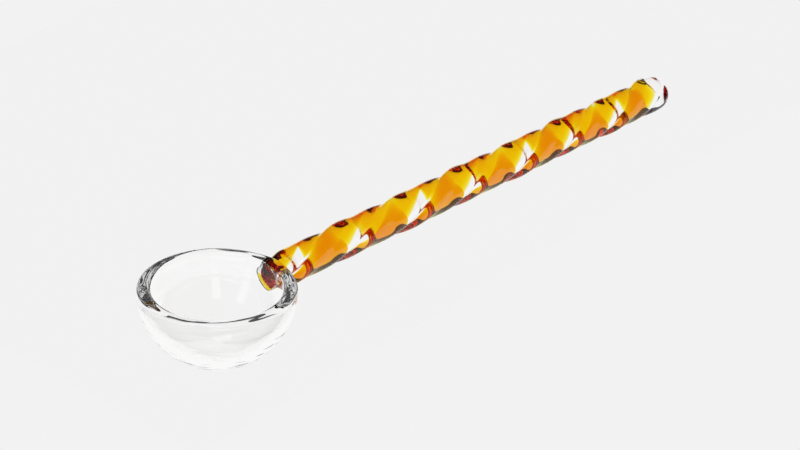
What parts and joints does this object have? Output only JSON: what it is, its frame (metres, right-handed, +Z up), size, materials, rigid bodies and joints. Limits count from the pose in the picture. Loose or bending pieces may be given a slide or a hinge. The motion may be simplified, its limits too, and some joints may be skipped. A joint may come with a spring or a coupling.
{
  "type": "glass spoon",
  "caption": "Small clear glass spoon with a deep half-round bowl and a straight handle of twisted amber and clear canes.",
  "frame": {"origin": "middle of the small flat seat under the bowl, on the surface the spoon lies on", "axes": "+Z up from that surface, +X along the spoon from the bowl towards the handle's tip, +Y to the left of +X"},
  "size_m": [0.1595, 0.036, 0.0202],
  "materials": {
    "bowl_glass": "clear, fire-polished",
    "amber_glass": "transparent amber, fire-polished",
    "clear_cane_glass": "clear, fire-polished"
  },
  "bodies": {
    "root": {"bowl": "bowl_glass", "amber_cane_1": "amber_glass", "amber_cane_2": "amber_glass", "clear_cane_1": "clear_cane_glass", "clear_cane_2": "clear_cane_glass"}
  },
  "joints": []
}
